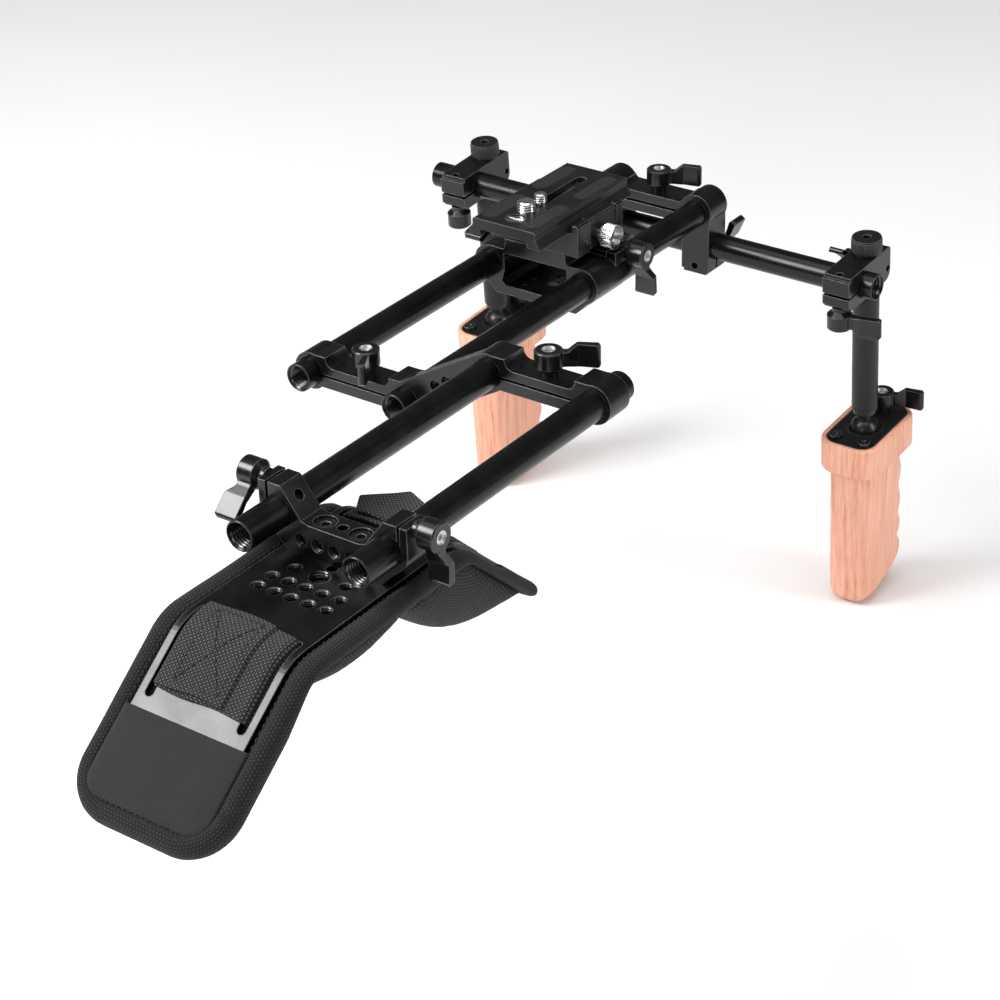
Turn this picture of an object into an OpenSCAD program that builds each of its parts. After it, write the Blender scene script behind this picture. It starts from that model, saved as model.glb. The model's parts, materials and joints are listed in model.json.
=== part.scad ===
// Shoulder-mount camera rig on 15 mm rods. Millimetres, +Z up, +Y forward,
// +X to the operator's right. The origin is where the pad rests on the shoulder.

/* [Rods] */
// Outside diameter of every rod
rod_d = 15; // [15:0.1:15.4]
// Distance between the two rods of a pair
rod_pitch = 60; // [60:0.5:61]
// Length of the two front rods and of the cross rod
long_rod = 300; // [290:5:320]
// Length of the two rear rods
rear_rod = 200; // [190:5:210]
// Length of the upright rods over the grips
post_len = 100; // [96:1:104]
// Depth of the thread in each rod end
rod_thread_len = 20; // [12:1:25]

/* [Layout] */
// Height of the rear rods' axes over the shoulder
rear_z = 35; // [34:0.5:37]
// How far the front pair is offset to the left
offset_x = 110.7; // [108:0.1:114]
// How far the front pair is offset downward
offset_z = 29.4; // [28:0.1:31]
// Middle of the offset connector along the rods
conn_y = 156.5; // [150:0.5:160]
// Rear face of the rail block
rail_y = 302.1; // [295:0.1:310]
// Cross rod axis along the front rods
cross_y = 425.5; // [422:0.5:427]
// Drop of the cross rod below the front rods
cross_drop = 21.3; // [21:0.1:22]
// Forward lean of both handles about the cross rod, degrees
handle_lean = 4; // [0:0.5:8]

/* [Shoulder] */
// Half width of the bent shoulder plate
plate_half = 30.7; // [30:0.1:32]
// Thickness of the shoulder plate
plate_t = 3; // [2.5:0.1:3.2]
// Half width of the pad
pad_half = 42; // [41:0.5:44]
// Slope of the rear wing of the plate, degrees
rear_slope = 37.7; // [36:0.1:39]
// Slope of the front wing of the plate, degrees
front_slope = 43; // [41:0.5:44]

/* [Quick release] */
// Length of the sliding plate
qr_len = 87.4; // [84:0.2:90]
// Width of the top of the sliding plate
qr_w = 40; // [39.6:0.2:40.4]

/* [Grips] */
// Height of each wooden grip
grip_h = 111; // [108:1:114]
// Width of the grip's collar
collar_w = 37.5; // [37:0.5:39]

/* [Hidden] */
$fn = 48;
run = 0.05;                       // radial clearance of a running fit
gap = 0.3;                        // clearance between faces that pass each other
rod_r = rod_d / 2;
bore_r = rod_r + run;
half = rod_pitch / 2;
ring_r = 10;                      // outside radius of the ring around a rod
thread_r = 6;                     // wall radius of a threaded rod end
core_r = 4.8;                     // wall radius of a rod's inside
front_x = -offset_x;
front_z = rear_z - offset_z;
front_y0 = 138.5;                 // rear ends of the front rods
cross_z = front_z - cross_drop;
cross_x0 = -268.9;                // left end of the cross rod
conn_w = 16;
arm_w = 8;                        // thickness of the bar between the two pair clamps
arm_hole_r = 3.175;
rear_y0 = [-31.5, -27.5];         // rear ends of the left and right rear rods
clamp_f_w = 17.9;                 // length of the front clamp along the rods
clamp_f_y = cross_y - 9;
handle_x = [-246, 14.6];          // uprights of the left and right handle
post_u = 17.7;                    // upright axis ahead of the cross rod
clamp_h_w = 16.5;                 // width of a handle clamp along the cross rod
ball_v = -105;                    // ball centre below the cross rod, along the post
grip_top = ball_v + 1;            // top face of the grip's plate
post_v = ball_v + 14;             // lower end of the upright rod
plate_y = 3.4;                    // middle of the grip's plate ahead of the upright
grip_screw_u = -17.6;
seat_h = 2;
lever_top = 13;                   // seat to hub top of every wing lever
pin_r = 1.95;                     // screw of every wing lever
pin_bore_r = 2;
ball_r = 8.5;
cavity_r = 10.5;                  // spherical room around each ball
sh_y0 = -5.6;                     // rear face of the shoulder clamp
sh_w = 14;
plate_z = rear_z - 18.2;          // top of the shoulder plate's flat
rear_bend = -71.2;                // where the flat meets the rear wing
front_bend = 41.1;                // where the flat meets the front wing
qr_y0 = 274.3;                    // rear end of the sliding plate
qr_top = front_z + 39.15;
quarter_r = 3.175;                // 1/4 inch thread
plate_rear_d = 78;                // wing lengths past the bends
plate_front_d = 56;
pad_t = 11;
rail_len = 43;
grip_half = 15;                   // half width of the wooden body
grip_rear = -22.5;                // rear edge of the wooden body behind the upright
finger_pitch = 20.5;              // distance between the finger grooves
round_r = 7;                      // rounding of the grip's foot
bend_r = 26;                      // bend radius of the plate's top face
black = [0.05, 0.05, 0.055];
dark = [0.12, 0.12, 0.125];
steel = [0.72, 0.72, 0.74];
wood = [0.80, 0.52, 0.38];
cloth = [0.17, 0.17, 0.18];

// ---------- helpers ----------

// Extrude an outline drawn as (x, z) along +Y from y0 over len
module along_y(y0, len) translate([0, y0 + len, 0]) rotate([90, 0, 0]) linear_extrude(len) children();

// Extrude an outline drawn as (y, z) along +X from x0 over len
module along_x(x0, len) translate([x0, 0, 0]) rotate([90, 0, 90]) linear_extrude(len) children();

module cyl_x(r, x0, x1) translate([x0, 0, 0]) rotate([0, 90, 0]) cylinder(r = r, h = x1 - x0);
module cyl_y(r, y0, y1) translate([0, y1, 0]) rotate([90, 0, 0]) cylinder(r = r, h = y1 - y0);
module cyl_z(r, z0, z1) translate([0, 0, z0]) cylinder(r = r, h = z1 - z0);

// Rectangle with rounded corners, centred
module round_rect(w, h, r) {
    square([w - 2 * r, h], center = true);
    square([w, h - 2 * r], center = true);
    for (i = [-1, 1], j = [-1, 1]) translate([i * (w / 2 - r), j * (h / 2 - r)]) circle(r);
}

// Stadium of length l along Y
module stadium(l, w) {
    square([w, l - w], center = true);
    for (j = [-1, 1]) translate([0, j * (l - w) / 2]) circle(w / 2);
}

// Hollow rod along +Z with a chamfered, threaded socket in each end
module rod(len) {
    mouth = 0.8;
    difference() {
        rotate_extrude() polygon([[0, 0], [rod_r - 0.4, 0], [rod_r, 0.4], [rod_r, len - 0.4],
                                  [rod_r - 0.4, len], [0, len]]);
        translate([0, 0, -1]) cylinder(r = core_r, h = len + 2);
        for (z = [0, len - rod_thread_len]) translate([0, 0, z]) cylinder(r = thread_r, h = rod_thread_len);
        translate([0, 0, -0.01]) cylinder(r1 = thread_r + mouth, r2 = thread_r, h = mouth);
        translate([0, 0, len - mouth + 0.01]) cylinder(r1 = thread_r, r2 = thread_r + mouth, h = mouth);
    }
}

module rod_y(x, y0, z, len) translate([x, y0, z]) rotate([-90, 0, 0]) rod(len);

// Wing lever: seat at the origin, hub up +Z, wing toward +X, screw of length pin below the seat
module wing_lever(pin) {
    hub_r = 7;
    neck_r = 4.2;
    tip = 24.5;
    hub_z0 = 4.5;
    difference() {
        union() {
            rotate_extrude() polygon([[0, -pin], [pin_r, -pin], [pin_r, 0], [neck_r, 0],
                [neck_r, seat_h], [hub_r, hub_z0], [hub_r, lever_top - 0.6], [hub_r - 0.6, lever_top],
                [0, lever_top]]);
            intersection() {
                translate([0, 3, 0]) rotate([90, 0, 0]) linear_extrude(7) polygon([[0, 5], [9, 4.6],
                    [13, 4], [tip - 1, 4], [tip, 5], [tip, 14.5], [tip - 1, 15.5], [13.5, 15.5],
                    [9, 12], [0, 12]]);
                linear_extrude(20) union() {
                    polygon([[0, -3.2], [8, -2.2], [14, -0.6], [tip - 2, -2.4], [tip - 2, 1.6],
                             [13, 2.6], [8, 2.2], [0, 3.2]]);
                    translate([tip - 2, -0.4]) circle(2);
                }
            }
        }
        translate([0, 0, lever_top - 2.4]) cylinder(r = 3.3, h = 3);
    }
    // hex socket screw seated in the hub
    difference() {
        translate([0, 0, lever_top - 2.4]) cylinder(r = 3.3, h = 1.6);
        translate([0, 0, lever_top - 2]) cylinder(r = 1.7, h = 2, $fn = 6);
    }
}

// Concave fillet between a wall at x = 0 and a floor at z = 0, filling the +X +Z corner
module fillet(r) difference() {
    square(r);
    translate([r, r]) circle(r);
}

// ---------- rods ----------

module front_rod(side) color(black) rod_y(front_x + side * half, front_y0, front_z, long_rod);
module rear_rod(i) color(black) rod_y((2 * i - 1) * half, rear_y0[i], rear_z, rear_rod);
module cross_rod() color(black)
    translate([cross_x0, cross_y, cross_z]) rotate([0, 90, 0]) rod(long_rod);

// ---------- offset connector ----------

// One split clamp for a pair of rods, drawn around the middle of the pair
module pair_clamp_2d(top, bottom) {
    hump_x = 20;
    hump_z = 9.7;
    difference() {
        union() {
            for (s = [-1, 1]) {
                translate([s * half, 0]) circle(ring_r);
                translate([s < 0 ? -half : hump_x, 0]) square([half - hump_x, hump_z]);
                translate([s * hump_x, top]) mirror([s > 0 ? 1 : 0, 0]) fillet(hump_z - top - 0.5);
            }
            translate([-half, bottom]) square([rod_pitch, top - bottom]);
        }
        for (s = [-1, 1]) translate([s * half, 0]) circle(bore_r);
        translate([-half, -1.5]) square([rod_pitch, 1.4]);
    }
}

// Solid bar between the pairs, bounded by the common tangents of the two rings it joins
module offset_arm_2d() {
    run_x = offset_x - rod_pitch;
    slope = atan2(offset_z, run_x);
    translate([front_x + half, front_z]) rotate(slope) translate([0, -ring_r])
        square([norm([run_x, offset_z]), 2 * ring_r]);
}

module offset_connector() {
    y0 = conn_y - conn_w / 2;
    color(black) difference() {
        union() {
            along_y(y0, conn_w) {
                translate([front_x, front_z]) pair_clamp_2d(4.5, -7.3);
                translate([0, rear_z]) pair_clamp_2d(4.5, -7.3);
            }
            along_y(y0, arm_w) difference() {
                offset_arm_2d();
                translate([front_x + half, front_z]) circle(bore_r + 1);
                translate([-half, rear_z]) circle(bore_r + 1);
            }
        }
        for (x = [0, front_x]) translate([x, conn_y, x == 0 ? rear_z : front_z]) cyl_z(pin_bore_r, -9, 6);
        for (k = [0.37, 0.51]) translate([front_x + half + k * (offset_x - rod_pitch),
            0, front_z + k * offset_z + 2.5]) cyl_y(arm_hole_r, y0 - 1, y0 + arm_w + 1);
    }
}

// ---------- front clamp ----------

module front_clamp() {
    out = 39;
    in = 21.3;
    bottom = -36.5;
    jaw_z = -32.3;
    color(black) difference() {
        along_y(clamp_f_y, clamp_f_w) translate([front_x, front_z]) difference() {
            union() {
                for (s = [-1, 1]) {
                    translate([s * half, 1]) circle(ring_r);
                    translate([s < 0 ? -out : in, bottom + 1.5]) square([out - in, -bottom - 1.5]);
                    translate([s < 0 ? -out + 1.5 : in + 1.5, bottom]) square([out - in - 3, 4]);
                    translate([s * in, 4.6]) mirror([s > 0 ? 1 : 0, 0]) fillet(2.6);
                }
                translate([-in - 1, -7.5]) square([2 * in + 2, 12.1]);
            }
            for (s = [-1, 1]) translate([s * half, 0]) circle(bore_r);
            translate([-half, -2.2]) square([rod_pitch, 1.6]);
        }
        // cross rod bore, and the slit from it down through both blocks
        translate([0, cross_y, cross_z]) cyl_x(bore_r, front_x - out - 1, front_x + out + 1);
        translate([front_x - out - 1, cross_y - 0.8, front_z + bottom - 1])
            cube([2 * out + 2, 1.6, cross_z - front_z - bottom]);
        for (s = [-1, 1]) translate([front_x + s * half, 0, front_z + jaw_z])
            cyl_y(pin_bore_r, clamp_f_y - 1, clamp_f_y + clamp_f_w + 1);
        translate([front_x, cross_y, front_z]) cyl_z(pin_bore_r, -9, 6);
    }
}

// ---------- rail block and quick release ----------

module rail_block_2d() {
    floor_z = -11.6;
    bottom = -16.9;
    difference() {
        union() {
            for (s = [-1, 1]) {
                translate([s * half, 0]) circle(ring_r);
                translate([s * 20.2, 7.8]) mirror([s > 0 ? 0 : 1, 0]) fillet(4);
            }
            polygon([[-26.2, bottom], [26.2, bottom], [34, floor_z + 2.5], [22.6, -4], [20.5, 0],
                     [20.5, 7.5], [19.5, 16.2], [-19.5, 16.2], [-20.5, 7.5], [-20.5, 0], [-22.6, -4],
                     [-34, floor_z + 2.5]]);
            for (s = [-1, 1]) translate([s < 0 ? -29 : 19, 4]) square([10, 6]);
        }
        // tunnel under the riser
        polygon([[-19.7, floor_z], [19.7, floor_z], [22.2, floor_z + 2.5], [20.5, -3], [20.5, 7.6],
                 [-20.5, 7.6], [-20.5, -3], [-22.2, floor_z + 2.5]]);
        for (s = [-1, 1]) translate([s * half, 0]) circle(bore_r);
    }
}

// Rounded boss with the slit that the side lever closes
module rail_boss_2d() translate([half, 0]) difference() {
    union() {
        square([8, 13]);
        translate([-10, 0]) square([10, 13]);
    }
    circle(bore_r);
    translate([2.2, 0]) square([1.6, 14]);
}

module rail_block() {
    boss_y = rail_y + 21;
    boss_w = 22;
    lever_z = 10.5;
    color(black) difference() {
        union() {
            along_y(rail_y, rail_len) translate([front_x, front_z]) rail_block_2d();
            along_y(boss_y, boss_w) translate([front_x, front_z]) {
                rail_boss_2d();
                mirror([1, 0]) rail_boss_2d();
            }
        }
        for (s = [-1, 1]) translate([front_x + s * half, 0, front_z]) {
            cyl_y(bore_r, rail_y - 1, rail_y + rail_len + 1);
            translate([s > 0 ? 2.2 : -3.8, boss_y - 0.8, 0]) cube([1.6, boss_w + 2, 14]);
        }
        translate([0, rail_y + 32.4, front_z + lever_z]) {
            cyl_x(pin_bore_r, front_x + half - 8, front_x + half + 9);
            cyl_x(pin_bore_r, front_x - half - 9, front_x - half + 8);
        }
        // mounting holes through the floor and small dimples beside them
        for (y = [17, 26]) translate([front_x, rail_y + y, front_z])
            cyl_z(y == 17 ? 4.1 : 3.2, -18, -11);
        for (i = [0:3]) translate([front_x - 11.5, rail_y + 6 + 9 * i, front_z]) cyl_z(0.8, -12.6, -11);
        for (i = [0:3]) translate([front_x + 11.5, rail_y + 6 + 9 * i, front_z]) cyl_z(0.8, -12.6, -11);
    }
}

module qr_receiver() {
    base_z = front_z + 16.25;
    color(black) {
        difference() {
            along_y(rail_y, rail_len) translate([front_x, base_z]) {
                polygon([[-28, 0], [28, 0], [28, 13.3], [-23.4, 13.3], [-20.87, 17.6],
                         [-27, 17.6], [-28, 16.6]]);
            }
            // recess for the movable jaw
            translate([front_x + 23.9, rail_y + 12, base_z - 1]) cube([5, 25.4, 20]);
            translate([front_x, rail_y + 22.4, front_z + 22]) cyl_x(3.05, 10, 29);
        }
        for (y = [rail_y, rail_y + 37.4]) along_y(y, y == rail_y ? 12 : 5.6)
            translate([front_x, base_z]) polygon([[23.9, 0], [28, 0], [28, 16.6], [27, 17.6],
                [24.6, 17.6], [24.4, 14.6]]);
    }
}

module qr_jaw() {
    base_z = front_z + 16.25;
    color(dark) difference() {
        along_y(rail_y + 12 + gap, 25.4 - 2 * gap) translate([front_x, base_z])
            polygon([[24.2, 0.6], [27.4, 0.6], [27.4, 16], [26.6, 17], [21.5, 17], [23.3, 13.7],
                     [24.2, 13.7]]);
        translate([front_x, rail_y + 22.4, front_z + 22]) cyl_x(3.05, 20, 29);
    }
}

module qr_knob() {
    color(steel) translate([front_x, rail_y + 22.4, front_z + 22]) rotate([0, 90, 0]) difference() {
        union() {
            translate([0, 0, 12]) cylinder(r = 3, h = 19);
            translate([0, 0, 30.4]) cylinder(r = 6.5, h = 7.6);
        }
        translate([0, 0, 34]) cylinder(r = 4.2, h = 5);
    }
}

module qr_plate() {
    hw = qr_w / 2;
    z0 = -9.5;
    slot_y = 51;
    color(dark) translate([front_x, qr_y0, qr_top]) difference() {
        along_y(0, qr_len) polygon([[-hw + 0.8, 0], [hw - 0.8, 0], [hw, -0.8], [hw, -4.2], [23, z0],
            [15, z0], [15, -6], [-15, -6], [-15, z0], [-23, z0], [-hw, -4.2], [-hw, -0.8]]);
        translate([0, slot_y, -10]) linear_extrude(12) stadium(49, 6);
        translate([0, slot_y, -7]) linear_extrude(3.4) stadium(53, 10);
        translate([0, 21.2, 0]) cyl_z(4.9, -8, 1);
        translate([0, 10.8, 0]) cyl_z(5.1, -3, 1);
        for (x = [-13.5, 13.5], y = [20.7, 66.2]) translate([x, y, -0.8]) linear_extrude(2)
            stadium(34, 9);
    }
}

module qr_rubber_pads() color(cloth)
    for (x = [-13.5, 13.5], y = [20.7, 66.2])
        translate([front_x + x, qr_y0 + y, qr_top - 0.8]) linear_extrude(1.1) stadium(33.8, 8.8);

module camera_screw_large() color(steel) translate([front_x, qr_y0 + 21.2, qr_top]) {
    cyl_z(4.6, -7.6, 0);
    cyl_z(4.7625, 0, 5.4);
    translate([0, 0, 5.4]) cylinder(r1 = 4.7625, r2 = 4, h = 0.8);
}

module camera_screw_small() color(steel) translate([front_x, qr_y0 + 34.2, qr_top]) {
    cyl_z(4.8, -6.6, -4);
    cyl_z(2.8, -4, 0);
    cyl_z(3.175, 0, 5.2);
    translate([0, 0, 5.2]) cylinder(r1 = 3.175, r2 = 2.5, h = 0.6);
}

module slotted_screw() color(steel) translate([front_x, qr_y0 + 10.8, qr_top]) difference() {
    cyl_z(4.9, -2.95, -0.6);
    translate([-6, -0.7, -1.8]) cube([12, 1.4, 3]);
}

// ---------- shoulder clamp, plate and pad ----------

module shoulder_clamp_2d() {
    ear = 13;
    difference() {
        polygon([[-13.8, -2.2], [13.8, -2.2], [17.5, -1.2], [28, ear], [40.5, ear], [40.5, -2],
                 [39.4, -5], [36.5, -8.4], [32.5, -11.5], [26, -18.2], [-26, -18.2], [-32.5, -11.5],
                 [-36.5, -8.4], [-39.4, -5], [-40.5, -2], [-40.5, ear], [-28, ear], [-17.5, -1.2]]);
        for (s = [-1, 1]) translate([s * half, 0]) circle(bore_r);
        for (s = [-1, 1]) translate([s < 0 ? -36.5 : 35, 4]) square([1.5, ear]);
    }
}

module shoulder_clamp() {
    lever_z = 8.2;
    mid = sh_y0 + sh_w / 2;
    color(black) difference() {
        along_y(sh_y0, sh_w) translate([0, rear_z]) shoulder_clamp_2d();
        translate([0, mid, rear_z + 10.3]) {
            cyl_x(pin_bore_r, 29, 42);
            cyl_x(pin_bore_r, -42, -29);
        }
        for (x = [-9.7, 9.7]) translate([x, mid + 0.2, rear_z]) {
            cyl_z(5.3, -8, 0);
            cyl_z(3.2, -19, -7);
        }
        translate([0, mid, rear_z]) cyl_z(2.6, -12, 0);
        for (i = [-2:2]) translate([9.2 * i, 0, rear_z - 11.1]) cyl_y(quarter_r, sh_y0 - 1, sh_y0 + 4.4);
        for (s = [-1, 1]) translate([s * 23, mid, rear_z + lever_z - 1]) rotate([0, s * -52, 0])
            cyl_z(2.6, -5, 8);
    }
}

// Socket head screws that fasten the clamp to the plate
module shoulder_clamp_screws() color(dark)
    for (x = [-9.7, 9.7]) translate([x, sh_y0 + sh_w / 2 + 0.2, rear_z]) difference() {
        union() {
            cyl_z(4.9, -7.95, -3.4);
            cyl_z(2.9, -20.6, -7.9);
        }
        translate([0, 0, -6]) cylinder(r = 2.3, h = 4, $fn = 6);
    }

// Points of the bent line that lies off below the plate's top, rear end first.
// The wings end rear_d and front_d past the corners of the sharp line.
function bent_line(off, rear_d, front_d) = let (
    rt = bend_r * tan(rear_slope / 2),
    ft = bend_r * tan(front_slope / 2),
    r = bend_r - off,
    z = plate_z - bend_r,
    steps = 8)
    [[rear_bend - rear_d * cos(rear_slope) + off * sin(rear_slope),
      plate_z - rear_d * sin(rear_slope) - off * cos(rear_slope)],
     for (k = [steps:-1:0]) [rear_bend + rt - r * sin(rear_slope * k / steps),
                             z + r * cos(rear_slope * k / steps)],
     for (k = [0:steps]) [front_bend - ft + r * sin(front_slope * k / steps),
                          z + r * cos(front_slope * k / steps)],
     [front_bend + front_d * cos(front_slope) - off * sin(front_slope),
      plate_z - front_d * sin(front_slope) - off * cos(front_slope)]];

// Bent strip of thickness t whose top lies off below the plate's top, drawn as (y, z)
module strip_2d(off, t, rear_d, front_d) {
    upper = bent_line(off, rear_d, front_d);
    lower = bent_line(off + t, rear_d, front_d);
    n = len(lower);
    polygon(concat(upper, [for (i = [n - 1:-1:0]) lower[i]]));
}

// Places children at a bend, with +Z out of the wing's face and Y along the wing
module at_rear_wing() translate([0, rear_bend, plate_z]) rotate([rear_slope, 0, 0]) children();
module at_front_wing() translate([0, front_bend, plate_z]) rotate([-front_slope, 0, 0]) children();

module shoulder_plate() {
    mid = sh_y0 + sh_w / 2 + 0.2;
    slot_x = 25;
    slot_w = 4.5;
    slot_end = 36.5;
    color(black) difference() {
        along_x(-plate_half, 2 * plate_half) strip_2d(0, plate_t, plate_rear_d, plate_front_d);
        for (x = [-18.4, -9.2, 0, 9.2, 18.4], y = [-35, -25.5]) translate([x, y, plate_z])
            cyl_z(quarter_r, -4, 1);
        for (x = [-14, 14]) translate([x, -15.5, plate_z]) cyl_z(quarter_r, -4, 1);
        for (x = [-9.7, 9.7]) translate([x, mid, plate_z]) cyl_z(3, -4, 1);
        translate([0, -16, plate_z]) cyl_z(4.7625, -4, 1);
        translate([0, -7.4, plate_z]) cyl_z(2.6, -4, 1);
        // strap slots near both edges, each running from the flat over the bend
        for (x = [-slot_x, slot_x]) {
            translate([x, rear_bend + 3, plate_z - 6]) linear_extrude(8) stadium(18, slot_w);
            at_rear_wing() translate([x, -slot_end / 2, -6]) linear_extrude(8)
                stadium(slot_end, slot_w);
            translate([x, front_bend - 3, plate_z - 6]) linear_extrude(8) stadium(18, slot_w);
            at_front_wing() translate([x, slot_end / 2 + 2, -6]) linear_extrude(8)
                stadium(slot_end + 4, slot_w);
        }
    }
}

// Bent panel whose rim stands level with the plate, with a bed for the plate
module shoulder_pad() {
    corner = 22;
    rear_y = rear_bend - 92 * cos(rear_slope);
    front_y = front_bend + 65 * cos(front_slope);
    color(cloth) difference() {
        intersection() {
            along_x(-pad_half, 2 * pad_half) strip_2d(0, pad_t, 100, 71);
            translate([0, (rear_y + front_y) / 2, -60]) linear_extrude(120)
                round_rect(2 * pad_half, front_y - rear_y, corner);
        }
        along_x(-plate_half - 0.8, 2 * plate_half + 1.6)
            strip_2d(-1, plate_t + 1.3, plate_rear_d + 1, plate_front_d + 1);
    }
}

// Two rounded cushions under the panel, behind and in front of the shoulder
module pad_lobes() {
    w = 36;
    color(cloth) along_x(-w, 2 * w) difference() {
        union() {
            intersection() {
                translate([-38, 66]) circle(r = 70, $fn = 96);
                translate([-100, -20]) square([100, 40]);
            }
            intersection() {
                translate([62, 30]) circle(r = 60, $fn = 96);
                translate([7, -40]) square([74, 60]);
            }
        }
        strip_2d(pad_t + 0.05 - 60, 60, 120, 120);
    }
}

// Webbing that passes over the plate between the rear slots
module rear_strap() color(cloth) along_x(-24, 48) intersection() {
    strip_2d(-3.8, 3.4, 38, 0);
    translate([-200, -100]) square([145, 200]);
}

// Webbing between the front slots
module front_strap() color(cloth) along_x(-24, 48) intersection() {
    strip_2d(-2.8, 2.4, 0, 34);
    translate([30, -100]) square([200, 200]);
}

// Loose end of the front webbing, standing up off the plate
module front_flap() color(cloth)
    translate([-5, 38, plate_z + 4.9]) rotate([8, 0, 0]) translate([-15, -12, 0]) cube([30, 24, 2.6]);

// Fabric pockets that hold both ends of the plate
module pad_pockets() color(cloth) {
    at_rear_wing() translate([0, -61, 0.3]) linear_extrude(2.2) round_rect(66, 39, 9);
    at_front_wing() translate([0, 50.5, 0.3]) linear_extrude(2.2) round_rect(66, 19, 5);
}

// ---------- handles ----------

// Places children in a handle's own frame: x along the cross rod, y forward, z up the post
module at_handle(i) translate([handle_x[i], cross_y, cross_z]) rotate([handle_lean, 0, 0]) children();

module handle_clamp_2d() {
    top = 10;
    rear = -17;
    nose = 30;
    difference() {
        union() {
            translate([rear + 2, -10]) square([32, 20]);
            translate([rear, -8]) square([4, 16]);
            translate([14, -5]) square([nose - 14 - 2, top + 5]);
            translate([14, -10]) square([8, 12]);
            translate([nose - 6, -4]) circle(6);
            translate([nose - 4, 4]) square([4, 4]);
            translate([nose - 2, 8]) circle(2);
            translate([14, -4]) square([nose - 14, 12]);
            translate([14, -10]) square([nose - 20, 8]);
        }
        circle(bore_r);
        // slit behind the bore, closed by the bottom lever
        translate([rear - 1, -2.6]) square([-rear, 1.6]);
    }
}

module handle_clamp(i) color(black) at_handle(i) difference() {
    w = clamp_h_w;
    along_x(-w / 2, w) handle_clamp_2d();
    translate([0, post_u, 0]) cyl_z(bore_r, -12, 12);
    // slit ahead of the post, closed by the side lever
    translate([-0.8, post_u, -12]) cube([1.6, 20, 24]);
    translate([0, -12.5, 0]) cyl_z(pin_bore_r, -12, 12);
    translate([0, 27.2, -3]) cyl_x(1.95, -w, w);
}

module post(i) color(dark) at_handle(i) translate([0, post_u, post_v]) rod(post_len);

// Knurled cap screwed into the top of the post, resting on the clamp
module post_stop(i) color(dark) at_handle(i) translate([0, post_u, 0]) difference() {
    cap_v = 10.1;
    union() {
        cyl_z(thread_r - run, cap_v - 12, cap_v + 1);
        cyl_z(8.25, cap_v, cap_v + 9);
    }
    translate([0, 0, cap_v + 5]) cylinder(r = 2.6, h = 8, $fn = 6);
}

// Ball on a short neck, screwed into the bottom of the post
module ball_stud(i) color(dark) at_handle(i) translate([0, post_u, ball_v]) union() {
    sphere(r = ball_r, $fn = 64);
    cyl_z(4.2, 0, 12);
    cyl_z(6.6, 11.4, post_v - ball_v - 0.05);
    cyl_z(thread_r - run, 13, 25);
}

// Band of a hollow ball between two heights, around the ball stud
module ball_band(z0, z1) difference() {
    sphere(r = cavity_r - gap, $fn = 64);
    sphere(r = ball_r + gap, $fn = 64);
    cyl_z(20, -20, z0);
    cyl_z(20, z1, 20);
}

// Small dished seat that the ball presses on
module ball_seat(i) color(dark) at_handle(i) translate([0, post_u, ball_v]) ball_band(-20, -8.2);

// Split ring around the ball, just below its widest line
module ball_ring(i) color(dark) at_handle(i) translate([0, post_u, ball_v]) ball_band(-3.6, 0.4);

module grip_plate(i) color(dark) at_handle(i) difference() {
    translate([0, post_u + plate_y, grip_top - 3]) linear_extrude(3) round_rect(30, 54, 8);
    translate([0, post_u, ball_v]) {
        sphere(r = cavity_r, $fn = 64);
        cyl_z(cavity_r, 0, 3);
    }
    for (x = [-9.2, 9.2]) translate([x, post_u + grip_screw_u, grip_top]) cyl_z(2.1, -4, 1);
    translate([0, post_u + 21, grip_top]) cyl_z(pin_bore_r, -4, 1);
}

module grip_screws(i) color(dark) at_handle(i)
    for (x = [-9.2, 9.2]) translate([x, post_u + grip_screw_u, grip_top]) difference() {
        union() {
            cyl_z(2.05, -13, 0.5);
            cyl_z(3.7, 0.02, 2.2);
        }
        translate([0, 0, 0.8]) cylinder(r = 1.6, h = 2, $fn = 6);
    }

// Outline of the grip's body at height z below its top, as a function of the angle a:
// a rounded oval whose front edge waves with the finger grooves
function groove(z) = 1.4 * cos(360 * (z + 57) / finger_pitch) - (z < -82 && z > -96 ? 1 : 0);
function front_edge(z) = 26.6 + groove(z);
function oval(v) = sign(v) * pow(abs(v), 0.62);
function tilt(z) = z > -64 ? 0 : 0.0075 * (-64 - z);
function grip_point(z, a, inset) = let (
    front = front_edge(z) - inset,
    rear = grip_rear + inset,
    y = (front + rear) / 2 + (front - rear) / 2 * oval(sin(a)))
    [(grip_half - inset) * oval(cos(a)), y, z + tilt(z) * (y + 8)];

// Wooden body: a stack of ovals from inside the collar down to a rounded, slanting foot
module grip_body() {
    sides = 32;
    depth = grip_h - round_r - 3;
    levels = concat([for (k = [0:26]) [-19 - k * (depth - 19) / 26, 0]],
                    [for (q = [20:20:80]) [-depth - round_r * sin(q), round_r * (1 - cos(q))]]);
    rings = [for (l = levels) [for (k = [0:sides - 1]) grip_point(l[0], 360 * k / sides, l[1])]];
    n = len(rings);
    points = [for (r = rings) each r];
    polyhedron(points, concat(
        [[for (k = [sides - 1:-1:0]) k]],
        [for (r = [0:n - 2], k = [0:sides - 1]) let (m = (k + 1) % sides)
            each [[r * sides + k, r * sides + m, r * sides + sides + k],
                  [r * sides + m, r * sides + sides + m, r * sides + sides + k]]],
        [[for (k = [0:sides - 1]) (n - 1) * sides + k]]));
}

module grip(i) color(wood) at_handle(i) translate([0, post_u, grip_top]) difference() {
    union() {
        translate([0, plate_y, -20]) linear_extrude(20) round_rect(collar_w, 60, 13);
        grip_body();
    }
    // bed for the plate, and room for the ball and the screws below it
    translate([0, plate_y, -3.05]) linear_extrude(4) round_rect(30.1, 54.1, 8);
    translate([0, 0, ball_v - grip_top]) sphere(r = cavity_r, $fn = 64);
    translate([0, 21, -16]) cylinder(r = 2.7, h = 14);
    for (x = [-9.2, 9.2]) translate([x, grip_screw_u, -15]) cylinder(r = 2.1, h = 13);
}

// ---------- levers ----------

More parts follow.
